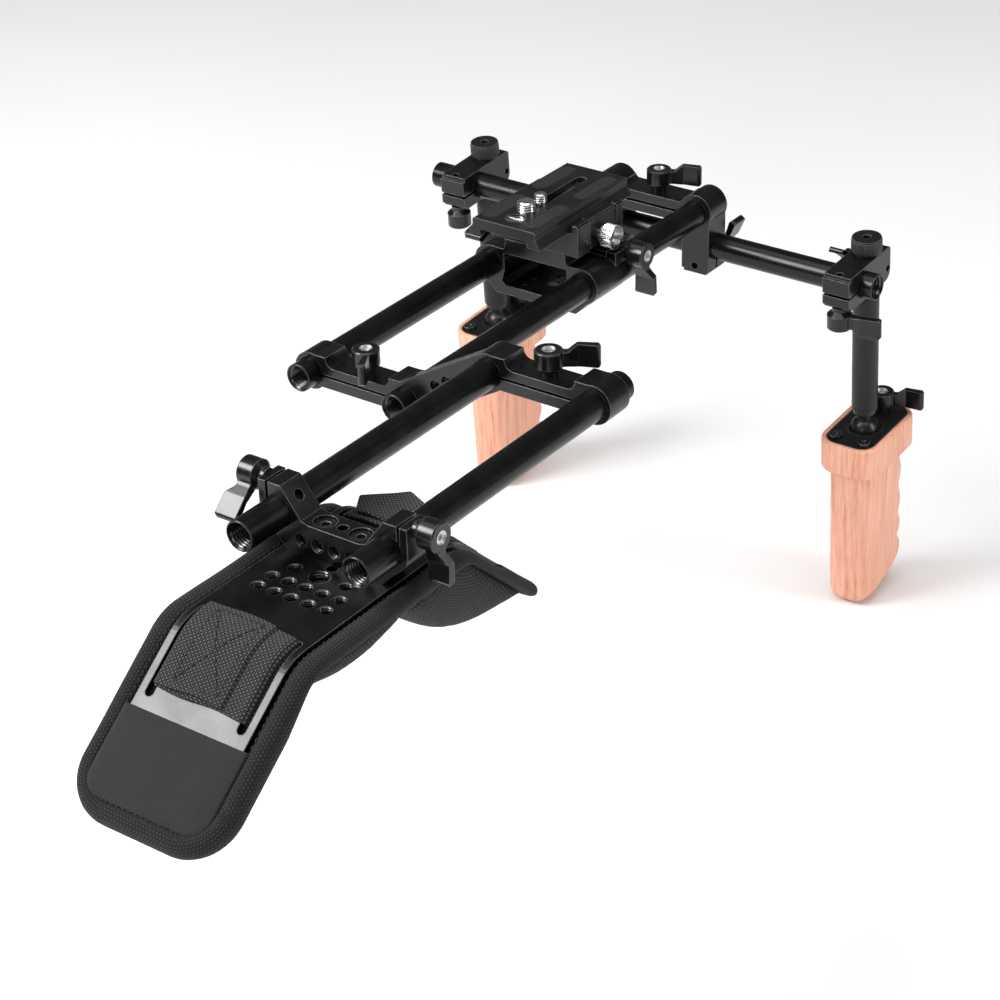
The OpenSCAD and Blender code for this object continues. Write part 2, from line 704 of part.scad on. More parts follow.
module lever_connector(x, z, turn) color(black)
    translate([x, conn_y, z + 4.5]) rotate([0, 0, turn]) wing_lever(11);
module lever_front_clamp() color(black)
    translate([front_x, cross_y, front_z + 4.6]) rotate([0, 0, 24]) wing_lever(11);
module lever_cross(s, turn) color(black)
    translate([front_x + s * half, clamp_f_y + clamp_f_w, front_z - 32.3]) rotate([-90, 0, 0])
        rotate([0, 0, -turn]) wing_lever(15);
// Levers on sideways screws: turn runs from straight ahead toward straight up
module side_lever(s, turn, pin) rotate([0, s * 90, 0]) rotate([0, 0, s > 0 ? 90 + turn : 90 - turn])
    wing_lever(pin);
module lever_rail(s, turn) color(black)
    translate([front_x + s * (half + 8), rail_y + 32.4, front_z + 10.5]) side_lever(s, turn, 12);
module lever_shoulder(s, turn) color(black)
    translate([s * 40.5, sh_y0 + sh_w / 2, rear_z + 10.3]) side_lever(s, turn, 10);
module lever_handle(i, turn) color(black) at_handle(i)
    translate([0, -12.5, -10]) rotate([180, 0, 0]) rotate([0, 0, -turn]) wing_lever(17);
module lever_post(i, turn) color(black) at_handle(i)
    translate([-clamp_h_w / 2, 27.2, -3]) scale(0.8) side_lever(-1, turn, 17);
module lever_grip(i, turn) color(black) at_handle(i)
    translate([0, post_u + 21, grip_top]) rotate([0, 0, turn]) wing_lever(12);

front_rod(-1);  // front_rod_left
front_rod(1);  // front_rod_right
rear_rod(0);  // rear_rod_left
rear_rod(1);  // rear_rod_right
cross_rod();
post(0);  // post_left
post(1);  // post_right
offset_connector();
front_clamp();
rail_block();
qr_receiver();
qr_jaw();
qr_knob();
qr_plate();
qr_rubber_pads();
camera_screw_large();
camera_screw_small();
slotted_screw();
shoulder_clamp();
shoulder_clamp_screws();
shoulder_plate();
shoulder_pad();
pad_lobes();
rear_strap();
front_strap();
front_flap();
pad_pockets();
handle_clamp(0);  // handle_clamp_left
handle_clamp(1);  // handle_clamp_right
post_stop(0);  // post_stop_left
post_stop(1);  // post_stop_right
ball_stud(0);  // ball_stud_left
ball_stud(1);  // ball_stud_right
ball_seat(0);  // ball_seat_left
ball_seat(1);  // ball_seat_right
ball_ring(0);  // ball_ring_left
ball_ring(1);  // ball_ring_right
grip(0);  // grip_left
grip(1);  // grip_right
grip_plate(0);  // grip_plate_left
grip_plate(1);  // grip_plate_right
grip_screws(0);  // grip_screws_left
grip_screws(1);  // grip_screws_right
lever_connector(front_x, front_z, -56);  // lever_connector_front
lever_connector(0, rear_z, 34);  // lever_connector_rear
lever_front_clamp();
lever_cross(-1, 120);  // lever_cross_left
lever_cross(1, 60);  // lever_cross_right
lever_rail(-1, 188);  // lever_rail_left
lever_rail(1, 280);  // lever_rail_right
lever_shoulder(-1, 218);  // lever_shoulder_left
lever_shoulder(1, 278);  // lever_shoulder_right
lever_handle(0, 127);  // lever_handle_left
lever_handle(1, 6);  // lever_handle_right
lever_post(0, 190);  // lever_post_left
lever_post(1, 140);  // lever_post_right
lever_grip(0, 16);  // lever_grip_left
lever_grip(1, 16);  // lever_grip_right
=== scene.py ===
import bpy
import json
import math
import numpy as np
from mathutils import Matrix, Vector


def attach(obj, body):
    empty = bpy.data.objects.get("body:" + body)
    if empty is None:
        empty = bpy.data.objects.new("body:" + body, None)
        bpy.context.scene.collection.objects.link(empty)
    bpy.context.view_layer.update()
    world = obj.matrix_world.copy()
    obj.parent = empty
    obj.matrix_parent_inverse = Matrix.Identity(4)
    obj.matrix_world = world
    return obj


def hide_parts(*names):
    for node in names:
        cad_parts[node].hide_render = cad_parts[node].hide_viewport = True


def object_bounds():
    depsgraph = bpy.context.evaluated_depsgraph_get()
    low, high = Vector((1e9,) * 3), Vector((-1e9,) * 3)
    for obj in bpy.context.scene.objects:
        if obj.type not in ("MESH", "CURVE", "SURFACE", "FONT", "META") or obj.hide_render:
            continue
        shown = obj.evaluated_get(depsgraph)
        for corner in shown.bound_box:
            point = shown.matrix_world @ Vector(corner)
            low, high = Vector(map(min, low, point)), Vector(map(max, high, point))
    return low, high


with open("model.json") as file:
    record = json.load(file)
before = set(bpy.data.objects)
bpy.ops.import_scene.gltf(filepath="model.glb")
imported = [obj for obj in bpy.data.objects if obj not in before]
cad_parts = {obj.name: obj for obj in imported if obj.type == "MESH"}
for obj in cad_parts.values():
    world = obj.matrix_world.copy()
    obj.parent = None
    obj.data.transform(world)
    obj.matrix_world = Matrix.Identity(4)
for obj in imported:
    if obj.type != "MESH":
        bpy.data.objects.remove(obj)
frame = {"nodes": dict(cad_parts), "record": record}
CAD_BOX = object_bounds()
MM = 0.001
NODES = frame["nodes"]

# ---------------------------------------------------------------- camera and light
# the camera's lens, axes and place come from a fit to the rods in the photograph
CAMERA_AT = (0.6125, -0.7109, 0.5871)
CAMERA_RIGHT = (0.8120, 0.5830, -0.0267)
CAMERA_UP = (-0.2737, 0.4209, 0.8648)
CAMERA_BACK = (0.5155, -0.6949, 0.5013)
cam = bpy.data.cameras.new("camera")
cam.lens = 91.57
cam.sensor_width = 36
cam.clip_start = 0.05
cam.clip_end = 20
cam_obj = bpy.data.objects.new("camera", cam)
bpy.context.scene.collection.objects.link(cam_obj)
bpy.context.scene.camera = cam_obj
pose = Matrix((CAMERA_RIGHT, CAMERA_UP, CAMERA_BACK)).transposed().to_4x4()
pose.translation = CAMERA_AT
cam_obj.matrix_world = pose


def softbox(name, direction, distance, size, power, aim=(-0.08, 0.15, 0.0)):
    """A rectangular lamp that looks at aim from that direction and distance."""
    lamp = bpy.data.lights.new(name, "AREA")
    lamp.shape = "RECTANGLE"
    lamp.size, lamp.size_y = size
    lamp.energy = power
    obj = bpy.data.objects.new(name, lamp)
    bpy.context.scene.collection.objects.link(obj)
    d = Vector(direction).normalized()
    obj.location = Vector(aim) + d * distance
    obj.rotation_euler = d.to_track_quat("Z", "Y").to_euler()


softbox("key", (-0.587, -0.43, 0.70), 1.5, (0.75, 0.62), 30, aim=(0.0, -0.11, 0.0))
softbox("overhead", (0.05, -0.1, 1.0), 3.2, (3.6, 3.6), 95)
softbox("right", (0.95, 0.35, 0.30), 1.8, (0.35, 1.2), 12)
softbox("front", (0.25, -0.95, 0.25), 2.2, (1.0, 0.3), 6)
world = bpy.data.worlds.new("world")
bpy.context.scene.world = world
world.use_nodes = True
background = world.node_tree.nodes["Background"]
background.inputs["Color"].default_value = (1, 1, 1, 1)
background.inputs["Strength"].default_value = 0.12
bpy.context.scene.view_settings.view_transform = "Standard"


# ---------------------------------------------------------------- node helpers
# sockets of the mix node when it mixes colours
MIX_FACTOR, MIX_A, MIX_B, MIX_RESULT = 0, 6, 7, 2


class Nodes:
    """A node tree with short calls for the few nodes used here."""

    def __init__(self, name):
        self.mat = bpy.data.materials.new(name)
        self.mat.use_nodes = True
        self.nt = self.mat.node_tree
        self.nt.nodes.clear()
        self.out = self.nt.nodes.new("ShaderNodeOutputMaterial")
        self.bsdf = self.nt.nodes.new("ShaderNodeBsdfPrincipled")
        self.link(self.bsdf.outputs[0], self.out.inputs[0])

    def link(self, a, b):
        self.nt.links.new(a, b)

    def put(self, socket, value):
        if isinstance(value, bpy.types.NodeSocket):
            self.link(value, socket)
        else:
            socket.default_value = value

    def add(self, kind, **values):
        node = self.nt.nodes.new(kind)
        for key, value in values.items():
            setattr(node, key, value)
        return node

    def coords(self, scale=(1, 1, 1), uv=False):
        tc = self.add("ShaderNodeTexCoord")
        mp = self.add("ShaderNodeMapping")
        self.link(tc.outputs["UV" if uv else "Object"], mp.inputs[0])
        mp.inputs["Scale"].default_value = scale
        return mp.outputs[0]

    def noise(self, vector, scale, detail=2.0, rough=0.5):
        n = self.add("ShaderNodeTexNoise")
        self.link(vector, n.inputs["Vector"])
        n.inputs["Scale"].default_value = scale
        n.inputs["Detail"].default_value = detail
        n.inputs["Roughness"].default_value = rough
        return n.outputs["Fac"]

    def math(self, op, a, b=0.0, c=0.0):
        n = self.add("ShaderNodeMath", operation=op)
        for socket, value in zip(n.inputs, (a, b, c)):
            self.put(socket, value)
        return n.outputs[0]

    def ramp(self, fac, stops):
        n = self.add("ShaderNodeValToRGB")
        self.link(fac, n.inputs[0])
        while len(n.color_ramp.elements) < len(stops):
            n.color_ramp.elements.new(0.5)
        for e, (at, color) in zip(n.color_ramp.elements, stops):
            e.position = at
            e.color = (*color, 1) if len(color) == 3 else color
        return n.outputs[0]

    def span(self, fac, low, high, to_low, to_high):
        n = self.add("ShaderNodeMapRange")
        self.link(fac, n.inputs[0])
        for i, v in enumerate((low, high, to_low, to_high)):
            n.inputs[1 + i].default_value = v
        return n.outputs[0]

    def bump(self, height, distance, strength=1.0, normal=None):
        n = self.add("ShaderNodeBump")
        self.link(height, n.inputs["Height"])
        n.inputs["Distance"].default_value = distance
        n.inputs["Strength"].default_value = strength
        if normal is not None:
            self.link(normal, n.inputs["Normal"])
        return n.outputs[0]

    def soft_edges(self, radius):
        n = self.add("ShaderNodeBevel", samples=4)
        n.inputs["Radius"].default_value = radius
        return n.outputs[0]

    def edge(self, radius):
        """1 on sharp edges, 0 on faces."""
        bevel = self.soft_edges(radius)
        geo = self.add("ShaderNodeNewGeometry")
        dot = self.add("ShaderNodeVectorMath", operation="DOT_PRODUCT")
        self.link(bevel, dot.inputs[0])
        self.link(geo.outputs["Normal"], dot.inputs[1])
        return self.span(dot.outputs["Value"], 0.98, 0.80, 0.0, 1.0), bevel

    def weave(self, vector, pu, pv):
        """Height of a plain weave with threads pu and pv apart, in the vector's own units."""
        sep = self.add("ShaderNodeSeparateXYZ")
        self.link(vector, sep.inputs[0])
        u = self.math("DIVIDE", sep.outputs[0], pu)
        v = self.math("DIVIDE", sep.outputs[1], pv)
        cell = self.math("ADD", self.math("FLOOR", u), self.math("FLOOR", v))
        parity = self.math("MODULO", self.math("ABSOLUTE", cell), 2.0)
        hu = self.math("ABSOLUTE", self.math("SINE", self.math("MULTIPLY", u, math.pi)))
        hv = self.math("ABSOLUTE", self.math("SINE", self.math("MULTIPLY", v, math.pi)))
        over = self.math("MULTIPLY", self.math("POWER", hu, 0.6),
                         self.math("ADD", 0.45, self.math("MULTIPLY", hv, 0.55)))
        under = self.math("MULTIPLY", self.math("POWER", hv, 0.6),
                          self.math("ADD", 0.25, self.math("MULTIPLY", hu, 0.35)))
        other = self.math("SUBTRACT", 1.0, parity)
        return self.math("ADD", self.math("MULTIPLY", over, parity), self.math("MULTIPLY", under, other))

    def blend(self, fac, a, b):
        """Colour a where fac is 0 and the fixed colour b where it is 1."""
        mix = self.add("ShaderNodeMix", data_type="RGBA")
        self.link(fac, mix.inputs[MIX_FACTOR])
        self.link(a, mix.inputs[MIX_A])
        mix.inputs[MIX_B].default_value = (*b, 1)
        return mix.outputs[MIX_RESULT]

    def set(self, **values):
        """Sockets of the principled shader, named with underscores for spaces."""
        for key, value in values.items():
            self.put(self.bsdf.inputs[key.replace("_", " ")], value)


def anodised(name, low, high, rough, edge_highlight_gain, shine=0.32):
    """Black metal between two tones, with painted highlights lightening its edges and a fine blasted grain."""
    n = Nodes(name)
    at = n.coords()
    broad = n.noise(at, 70, 3)
    fine = n.noise(at, 2600, 2, 0.6)
    edge, bevel = n.edge(0.0007)
    base = n.ramp(broad, [(0.3, low), (0.7, high)])
    # painted highlight: edges found by the bevel normal are lightened toward a brighter colour, more where the
    # broad noise is high
    lit = tuple(min(1, c + edge_highlight_gain) for c in high)
    painted_edge_highlight = n.math("MULTIPLY", edge, n.span(broad, 0.3, 0.7, 0.35, 0.8))
    grime = n.math("ADD", n.math("MULTIPLY", broad, 0.7), n.math("MULTIPLY", fine, 0.3))
    n.set(Base_Color=n.blend(painted_edge_highlight, base, lit),
          Roughness=n.span(grime, 0.3, 0.7, rough - 0.05, rough + 0.07),
          Specular_IOR_Level=shine,
          Normal=n.bump(fine, 0.00003, 0.35, bevel))
    return n.mat


def bright_steel(name, color, rough):
    """Bare turned steel, its tool marks running around the vertical axis."""
    n = Nodes(name)
    broad = n.noise(n.coords(), 260, 3)
    lines = n.noise(n.coords(scale=(300, 300, 3500)), 1.0, 2)
    bevel = n.soft_edges(0.0003)
    low = tuple(c * 0.72 for c in color)
    tone = n.math("ADD", n.math("MULTIPLY", broad, 0.5), n.math("MULTIPLY", lines, 0.5))
    n.set(Base_Color=n.ramp(tone, [(0.3, low), (0.65, color)]),
          Metallic=1.0,
          Roughness=n.span(lines, 0.3, 0.7, rough - 0.06, rough + 0.1),
          Normal=n.bump(lines, 0.00003, 0.4, bevel))
    return n.mat


def rubber_ribs(name):
    """Black rubber with straight ribs across the plate."""
    pitch = 0.0019
    n = Nodes(name)
    at = n.coords()
    sep = n.add("ShaderNodeSeparateXYZ")
    n.link(at, sep.inputs[0])
    ribs = n.math("ABSOLUTE", n.math("SINE", n.math("MULTIPLY", sep.outputs[1], math.pi / pitch)))
    fine = n.noise(at, 1500, 3)
    tone = n.math("ADD", n.math("MULTIPLY", ribs, 0.8), n.math("MULTIPLY", fine, 0.2))
    n.set(Base_Color=n.ramp(tone, [(0.15, (0.002, 0.002, 0.002)), (0.8, (0.012, 0.012, 0.0125))]),
          Roughness=n.span(fine, 0.3, 0.7, 0.48, 0.66),
          Normal=n.bump(fine, 0.00003, 0.4, n.bump(ribs, 0.0004, 0.9)))
    return n.mat


def wood(name, shade_factor=1.0):
    """Oiled reddish wood with grain and pores along the handle; a factor below 1 darkens it all, as painted
    shade for the walls of the plate's bed.
    """
    n = Nodes(name)
    warp = n.noise(n.coords(scale=(60, 60, 5)), 1.0, 2)
    grain = n.noise(n.coords(scale=(420, 420, 16)), 1.0, 4, 0.62)
    streak = n.noise(n.coords(scale=(1500, 1500, 34)), 1.0, 3, 0.55)
    pore = n.add("ShaderNodeTexVoronoi", feature="F1")
    n.link(n.coords(scale=(950, 950, 62)), pore.inputs["Vector"])
    patches = n.noise(n.coords(scale=(140, 140, 14)), 1.0, 2)
    pores = n.math("MULTIPLY", n.span(pore.outputs["Distance"], 0.10, 0.26, 1.0, 0.0),
                   n.span(patches, 0.46, 0.62, 0.0, 1.0))
    tone = n.math("ADD", n.math("MULTIPLY", grain, 0.55),
                  n.math("ADD", n.math("MULTIPLY", streak, 0.25), n.math("MULTIPLY", warp, 0.2)))
    stops = []
    for at, rgb in ((0.34, (0.50, 0.175, 0.105)), (0.45, (0.75, 0.345, 0.228)),
                    (0.60, (0.88, 0.475, 0.335)), (0.74, (0.92, 0.55, 0.41))):
        stops.append((at, tuple(c * shade_factor ** (1 + 0.5 * k) for k, c in enumerate(rgb))))
    height = n.math("SUBTRACT", n.math("MULTIPLY", streak, 0.35), pores)
    n.set(Base_Color=n.blend(n.math("MULTIPLY", pores, 0.9), n.ramp(tone, stops), (0.40, 0.125, 0.07)),
          Roughness=n.span(tone, 0.35, 0.65, 0.42, 0.56),
          Specular_IOR_Level=0.4,
          Normal=n.bump(height, 0.0001, 0.5))
    return n.mat


def cloth(name, pu, pv, dark, light, depth, sheen):
    """Woven fabric; thread pitches pu and pv are in millimetres of the mesh's own UV map."""
    n = Nodes(name)
    height = n.weave(n.coords(uv=True), pu, pv)
    worn = n.noise(n.coords(), 55, 3)
    hair = n.noise(n.coords(), 2500, 2, 0.7)
    shade = n.math("ADD", n.math("MULTIPLY", height, 0.74),
                   n.math("ADD", n.math("MULTIPLY", hair, 0.14), n.math("MULTIPLY", worn, 0.12)))
    mid = tuple(c * 0.24 for c in light)
    n.set(Base_Color=n.ramp(shade, [(0.28, dark), (0.55, mid), (0.88, light)]),
          Roughness=n.span(hair, 0.3, 0.7, 0.79, 0.93),
          Sheen_Weight=sheen,
          Sheen_Roughness=0.5,
          Specular_IOR_Level=0.3,
          Normal=n.bump(hair, 0.00006, 0.5, n.bump(height, depth, 0.9)))
    return n.mat


def grey(value, blue=0.0):
    return (value, value, value + blue)


# each finish's fifth value is how much painted highlight lightens its edges
BLACK = anodised("black_anodised", grey(0.0025, 0.0003), grey(0.005, 0.0005), 0.27, 0.32, 0.36)
ROD = anodised("rod_anodised", grey(0.0022, 0.0003), grey(0.0042, 0.0004), 0.25, 0.16, 0.28)
DARK = anodised("dark_anodised", grey(0.0055, 0.0005), grey(0.009, 0.0005), 0.38, 0.28)
LEVER = anodised("lever_metal", grey(0.003, 0.0003), grey(0.007, 0.0005), 0.22, 0.24, 0.42)
OXIDE = anodised("black_oxide", grey(0.003), grey(0.007), 0.20, 0.25, 0.9)
BALL = anodised("ball_oxide", grey(0.003), grey(0.006), 0.33, 0.05, 0.5)
SOCKET = bright_steel("socket_steel", grey(0.72, 0.01), 0.30)
STEEL = bright_steel("machined_steel", grey(0.86, 0.01), 0.20)
RUBBER = rubber_ribs("ribbed_rubber")
WOOD = wood("oiled_wood")
# a darker copy of the wood: painted shade for the rim, wall and floor of each grip's plate bed
BED_SHADE_WOOD = wood("wood_painted_bed_shade", 0.62)
BINDING = cloth("binding", 0.9, 1.5, grey(0.0012), grey(0.040, 0.0015), 0.0005, 0.05)
WEBBING = cloth("webbing", 1.25, 1.0, grey(0.0012), grey(0.135, 0.003), 0.0007, 0.05)
POCKET = cloth("pocket_cloth", 0.6, 0.6, grey(0.006), grey(0.046, 0.001), 0.0001, 0.12)
MESH = cloth("spacer_mesh", 1.7, 1.1, grey(0.002), grey(0.060, 0.002), 0.0006, 0.06)
THREAD = cloth("stitching", 0.25, 0.5, grey(0.010), grey(0.060, 0.002), 0.0001, 0.1)

BY_SLOT = {
    "black_anodised": BLACK,
    "dark_anodised": DARK,
    "lever_metal": LEVER,
    "blackened_steel": OXIDE,
    "bright_steel": STEEL,
    "rubber": RUBBER,
    "pad_fabric": POCKET,
    "webbing": WEBBING,
    "wood": WOOD,
}
for sub in frame["record"]["subparts"]:
    name = sub["node"]
    look = BY_SLOT[sub["material_slot"]]
    if "_rod" in name:
        look = ROD
    elif name.startswith("ball_stud"):
        look = BALL
    NODES[name].data.materials.clear()
    NODES[name].data.materials.append(look)


def socket_screws():
    """The hex socket screw in each lever's hub is bright: its faces take the steel."""
    hub_inner, hub_outer = 0.0055, 0.008
    screw_radius, screw_height = 0.00332, 0.0108
    for joint in frame["record"]["behaviour"]["joints"]:
        name = joint["child"]
        if not name.startswith("lever_"):
            continue
        obj = NODES[name]
        # the levers on the posts are smaller ones
        size = 0.8 if "post" in name else 1.0
        origin, axis = Vector(joint["pos_m"]), Vector(joint["axis"]).normalized()
        rows = []
        for poly in obj.data.polygons:
            c = obj.matrix_world @ poly.center - origin
            along = c.dot(axis)
            rows.append((poly, along, (c - axis * along).length))
        hub = math.copysign(1, sum(a for _, a, r in rows if hub_inner < r < hub_outer))
        obj.data.materials.append(SOCKET)
        for poly, along, radial in rows:
            if radial < screw_radius * size and along * hub > screw_height * size:
                poly.material_index = 1


socket_screws()


# ---------------------------------------------------------------- mesh helpers
def mesh_object(name, points, faces, material, body, smooth=True, uvs=None):
    """A new piece; points in millimetres, and uvs one (u, v) per point, in millimetres."""
    mesh = bpy.data.meshes.new(name)
    mesh.from_pydata([tuple(c * MM for c in p) for p in points], [], faces)
    mesh.validate()
    if smooth:
        mesh.polygons.foreach_set("use_smooth", [True] * len(mesh.polygons))
    if uvs is not None:
        layer = mesh.uv_layers.new(name="weave")
        for loop in mesh.loops:
            layer.data[loop.index].uv = uvs[loop.vertex_index]
    mesh.materials.append(material)
    obj = bpy.data.objects.new(name, mesh)
    bpy.context.scene.collection.objects.link(obj)
    if body:
        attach(obj, body)
    return obj


def lattice(rows, close_cols=False):
    """Points and faces of a grid given as rows of points."""
    m, n = len(rows), len(rows[0])
    points = [p for r in rows for p in r]
    faces = []
    for i in range(m - 1):
        for j in range(n if close_cols else n - 1):
            k = (j + 1) % n
            faces.append((i * n + j, i * n + k, (i + 1) * n + k, (i + 1) * n + j))
    return points, faces


def slab(top, bottom):
    """Points and faces of a closed sheet given as two grids of points."""
    m, n = len(top), len(top[0])
    off = m * n
    points = [p for r in top for p in r] + [p for r in bottom for p in r]
    faces = []
    for i in range(m - 1):
        for j in range(n - 1):
            a = i * n + j
            faces.append((a, a + 1, a + n + 1, a + n))
            faces.append((off + a + n, off + a + n + 1, off + a + 1, off + a))
    rim = [(0, j) for j in range(n)]
    rim += [(i, n - 1) for i in range(1, m)]
    rim += [(m - 1, j) for j in range(n - 2, -1, -1)]
    rim += [(i, 0) for i in range(m - 2, 0, -1)]
    for (i, j), (k, q) in zip(rim, rim[1:] + rim[:1]):
        a, b = i * n + j, k * n + q
        faces.append((b, a, off + a, off + b))
    return points, faces


def frame_of(axis):
    """Two sides and the axis itself, all of unit length."""
    a = Vector(axis).normalized()
    side = a.orthogonal().normalized()
    return side, a.cross(side), a


def thread(name, body, slot, material, centre, axis, radius, length, pitch, depth, inward=True, seg=26):
    """A helical ridge on a wall of that radius, starting at centre and running along axis."""
    s, t, a = frame_of(axis)
    c = Vector(centre)
    rows = []
    sign = -1 if inward else 1
    steps = int(length / pitch * seg)
    run_out = 6
    sunk = -0.1
    for k in range(steps + 1):
        ang = 2 * math.pi * k / seg
        h = pitch * k / seg
        crest = depth * min(1, k / run_out, (steps - k) / run_out)
        d = s * math.cos(ang) + t * math.sin(ang)
        row = []
        for off, rise in ((-0.46, sunk), (-0.12, crest), (0.12, crest), (0.46, sunk)):
            p = c + a * (h + off * pitch) + d * (radius + sign * rise)
            row.append(tuple(p))
        rows.append(row)
    points, faces = lattice(rows)
    return mesh_object(name, points, faces, material, body)


def knurl(name, body, material, centre, axis, radius, length, teeth, depth):
    """A band of straight teeth that stands on a wall of that radius."""
    s, t, a = frame_of(axis)
    c = Vector(centre)
    tooth = (1, 0.45, 0.0, 0.45)
    count = teeth * len(tooth)
    levels = [(0, 0.0), (0.06, 1.0)] + [(0.06 + 0.88 * k / 6, 1.0) for k in range(1, 7)] + [(1, 0.0)]
    rows = []
    for f, on in levels:
        row = []
        for k in range(count):
            ang = 2 * math.pi * k / count
            r = radius - 0.03 + on * depth * tooth[k % len(tooth)]
            row.append(tuple(c + a * (f * length) + (s * math.cos(ang) + t * math.sin(ang)) * r))
        rows.append(row)
    points, faces = lattice(rows, close_cols=True)
    return mesh_object(name, points, faces, material, body, smooth=False)


# ---------------------------------------------------------------- shoulder pad
# the shoulder plate: height of its top, radius of its bends, where its flat ends, and how far each wing drops
PLATE_TOP = 16.8
BEND_RADIUS = 26.0
FLAT_REAR = -62.32
FLAT_FRONT = 30.86
DROP_REAR = math.radians(37.7)
DROP_FRONT = math.radians(43.0)


def bend(x, u, n):
    """The point u along the plate's bent line and n above the plate's top."""
    if FLAT_REAR <= u <= FLAT_FRONT:
        return (x, u, PLATE_TOP + n)
    if u > FLAT_FRONT:
        full, s, sign, start = DROP_FRONT, u - FLAT_FRONT, 1, FLAT_FRONT
    else:
        full, s, sign, start = DROP_REAR, FLAT_REAR - u, -1, FLAT_REAR
    a = min(s / BEND_RADIUS, full)
    rest = max(0.0, s - BEND_RADIUS * full)
    y = (BEND_RADIUS + n) * math.sin(a) + rest * math.cos(full)
    z = PLATE_TOP - BEND_RADIUS + (BEND_RADIUS + n) * math.cos(a) - rest * math.sin(full)
    return (x, start + sign * y, z)


def outline(half_x, u0, u1, radii, step=3.0):
    """Rounded rectangle as (x, u, nx, nu, running length) points; radii are the rear and front corners'."""
    pts = []
    length = 0.0
    rear, front = radii
    corners = [
        (half_x - front, u1 - front, 0, front),
        (-half_x + front, u1 - front, 90, front),
        (-half_x + rear, u0 + rear, 180, rear),
        (half_x - rear, u0 + rear, 270, rear),
    ]
    sides = [
        ((half_x, u0 + rear), (half_x, u1 - front), (1, 0)),
        ((half_x - front, u1), (-half_x + front, u1), (0, 1)),
        ((-half_x, u1 - front), (-half_x, u0 + rear), (-1, 0)),
        ((-half_x + rear, u0), (half_x - rear, u0), (0, -1)),
    ]
    for (a, b, normal), (cx, cu, first, r) in zip(sides, corners):
        d = math.dist(a, b)
        k = max(1, round(d / step))
        for i in range(k):
            f = i / k
            pts.append((a[0] + (b[0] - a[0]) * f, a[1] + (b[1] - a[1]) * f, *normal, length + d * f))
        length += d
        arc = math.pi / 2 * r
        m = max(3, round(arc / step))
        for i in range(m):
            ang = math.radians(first + 90 * i / m)
            nx, nu = math.cos(ang), math.sin(ang)
            pts.append((cx + r * nx, cu + r * nu, nx, nu, length + arc * i / m))
        length += arc
    return pts, length


def inset(pt, d, half_x, u0, u1, radii):
    """The outline's point moved inward by d, corners keeping their centres until they close."""
    x, u, nx, nu, _ = pt
    r = radii[0 if u < (u0 + u1) / 2 else 1]
    if d <= r:
        return x - nx * d, u - nu * d
    x, u = x - nx * r, u - nu * r
    e = d - r
    lim_x, lim_u0, lim_u1 = half_x - r - e, u0 + r + e, u1 - r - e
    return max(-lim_x, min(lim_x, x)), max(lim_u0, min(lim_u1, u))


def ramp(v, low, high):
    return min(1.0, max(0.0, (v - low) / (high - low)))


def rim_sink(u):
    """How far the rim lies below the plate's top along the front wing."""
    return 2.7 * ramp(u, 32, 48) * (1 - 0.75 * ramp(u, 68, 80))


# the panel's half width, ends and (rear, front) corner radii
PANEL = (42.0, -162.0, 110.0, (24.0, 9.0))
# (inset, height over the plate's top) from the underside's middle, around the binding, to the well inside it
PANEL_PROFILE = [
    (30, -10.9), (16, -10.9), (9, -10.9), (4.5, -10.8), (2.2, -10.2), (0.8, -9.0), (0.1, -7.2), (0.0, -5.0),
    (0.3, -3.2), (1.1, -1.5), (2.4, -0.3), (4.2, 0.35), (6.2, 0.3), (8.0, -0.5), (9.3, -1.7), (10.1, -3.0),
    (10.8, -4.0), (11.6, -4.2), (16, -4.25), (22, -4.25), (30, -4.25), (41.5, -4.25),
]
# rows of the profile that the binding covers
BINDING_ROWS = range(2, 16)


def panel_level(u, d, n, along):
    """Height of the panel's surface: thinner ahead of the rear wing, its rim sunk and a little uneven."""
    thinner = ramp(u, -100, -78)
    level = n
    if n < -1 and d < 10:
        level = n * (1 - 0.36 * thinner)
    if n < -9 and d >= 10:
        level = n * (1 - 0.30 * thinner)
    if n > -9.5 and d < 10.5:
        level -= rim_sink(u) * min(1.0, (n + 9.5) / 5)
    if -9 < n < 1 and d < 9:
        level += 0.175 * math.sin(along * 0.05) + 0.125 * math.sin(along * 0.13 + 1)
    return level


def pad_panel():
    pts, _ = outline(*PANEL)
    rows, uvs = [], []
    v = 0.0
    last = PANEL_PROFILE[0]
    for d, n in PANEL_PROFILE:
        v += math.dist(last, (d, n))
        last = (d, n)
        ring = []
        for p in pts:
            x, u = inset(p, d, *PANEL)
            ring.append(bend(x, u, panel_level(u, d, n, p[4])))
            uvs.append((p[4], v))
        rows.append(ring)
    points, faces = lattice(rows, close_cols=True)
    obj = mesh_object("pad_panel", points, faces, BINDING, "shoulder", uvs=uvs)
    obj.data.materials.append(POCKET)
    for i, poly in enumerate(obj.data.polygons):
        if i // len(pts) not in BINDING_ROWS:
            poly.material_index = 1
    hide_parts("shoulder_pad")


def tube_faces(base, rings):
    """Faces of an open six-sided tube of that many rings, whose points start at base."""
    faces = []
    for e in range(rings - 1):
        for q in range(6):
            a, b = base + e * 6 + q, base + e * 6 + (q + 1) % 6
            faces.append((a, b, b + 6, a + 6))
    return faces


